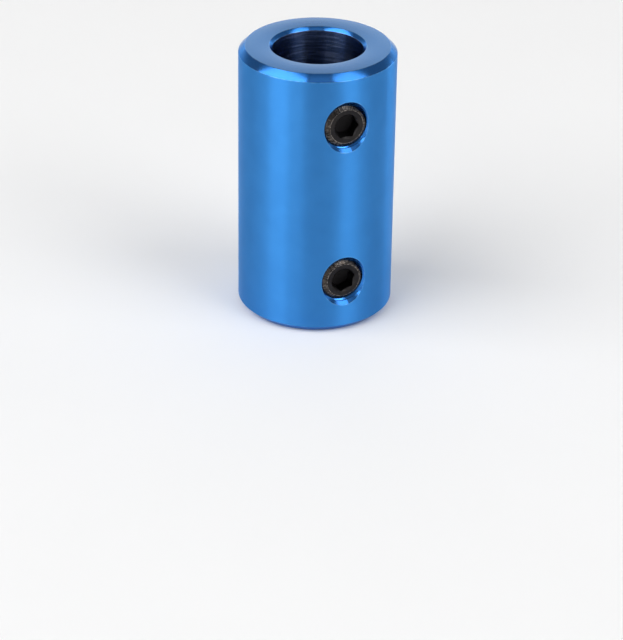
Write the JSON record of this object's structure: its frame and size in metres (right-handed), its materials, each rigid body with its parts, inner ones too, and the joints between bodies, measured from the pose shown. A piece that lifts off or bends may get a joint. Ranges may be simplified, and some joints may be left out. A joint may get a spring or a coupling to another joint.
{
  "type": "rigid sleeve shaft coupling",
  "caption": "Rigid sleeve coupling that joins two round shafts end to end in one plain bore, with radial grub screws that clamp them.",
  "frame": {"origin": "centre of the sleeve's lower end face, on the bore axis", "axes": "+Z along the bore axis from the lower end to the upper end; both grub screws point out along -Y"},
  "size_m": [0.014, 0.014, 0.025],
  "materials": {
    "anodised_aluminium": "turned aluminium, satin blue anodising",
    "black_oxide_steel": "alloy steel with a thin black oxide"
  },
  "bodies": {
    "sleeve": {"sleeve": "anodised_aluminium"},
    "upper_grub_screw": {"upper_grub_screw": "black_oxide_steel"},
    "lower_grub_screw": {"lower_grub_screw": "black_oxide_steel"}
  },
  "joints": [
    {"name": "upper_screw_travel", "type": "slide", "parent": "sleeve", "child": "upper_grub_screw", "axis": [0, -1, 0], "range_m": [-0.0014, 0.0021]},
    {"name": "lower_screw_travel", "type": "slide", "parent": "sleeve", "child": "lower_grub_screw", "axis": [0, -1, 0], "range_m": [-0.0014, 0.0021]}
  ]
}
